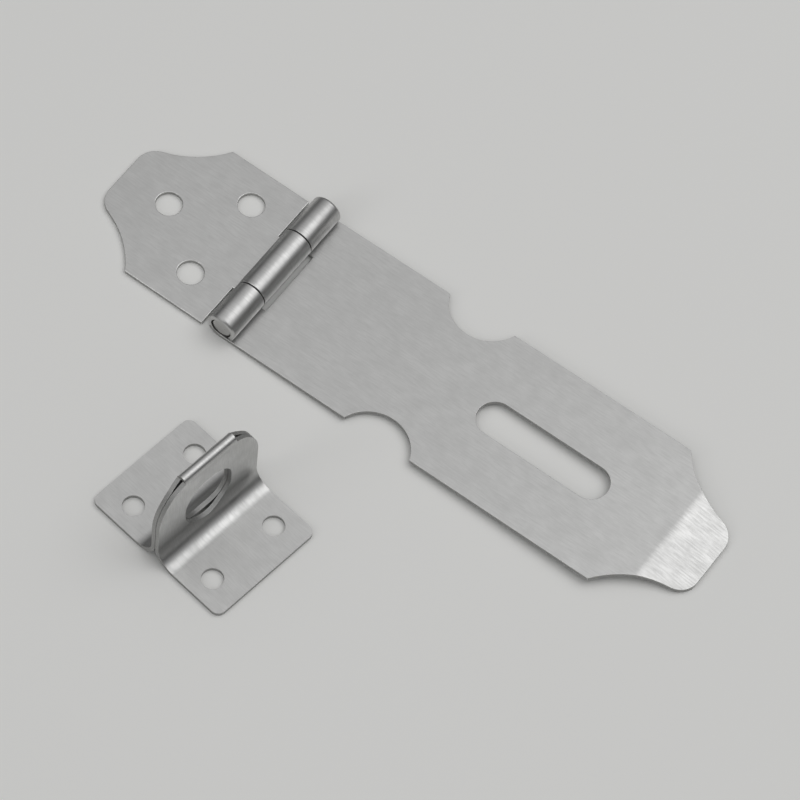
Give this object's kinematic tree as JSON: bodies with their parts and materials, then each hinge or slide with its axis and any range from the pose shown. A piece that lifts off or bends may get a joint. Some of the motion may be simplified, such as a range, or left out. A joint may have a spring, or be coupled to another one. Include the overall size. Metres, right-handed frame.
{
  "type": "hasp and staple",
  "caption": "Pressed sheet steel safety hasp: fixed leaf, slotted swinging strap on a pin hinge, and a loose folded staple with an oval padlock eye.",
  "frame": {"origin": "foot of the hinge axis on the mounting surface, at the middle of the width, on the fixed leaf's back", "axes": "+X along the strap from the hinge, +Y along the hinge axis, +Z away from the mounting surface"},
  "size_m": [0.1501, 0.0891, 0.0262],
  "materials": {
    "brushed_stainless": "fine lengthwise brushing, satin",
    "pin_steel": "drawn wire, bright ends"
  },
  "bodies": {
    "leaf": {"fixed_leaf": "brushed_stainless"},
    "strap": {"hasp_strap": "brushed_stainless", "hinge_pin": "pin_steel"},
    "staple": {"staple": "brushed_stainless"}
  },
  "joints": [
    {"name": "strap_hinge", "type": "hinge", "parent": "leaf", "child": "strap", "pos_m": [0, 0, 0.0035], "axis": [0, -1, 0], "range_deg": [0, 182]},
    {"name": "staple_lift", "type": "slide", "parent": "leaf", "child": "staple", "axis": [0, 0, 1], "range_m": [0, 0.06]}
  ]
}
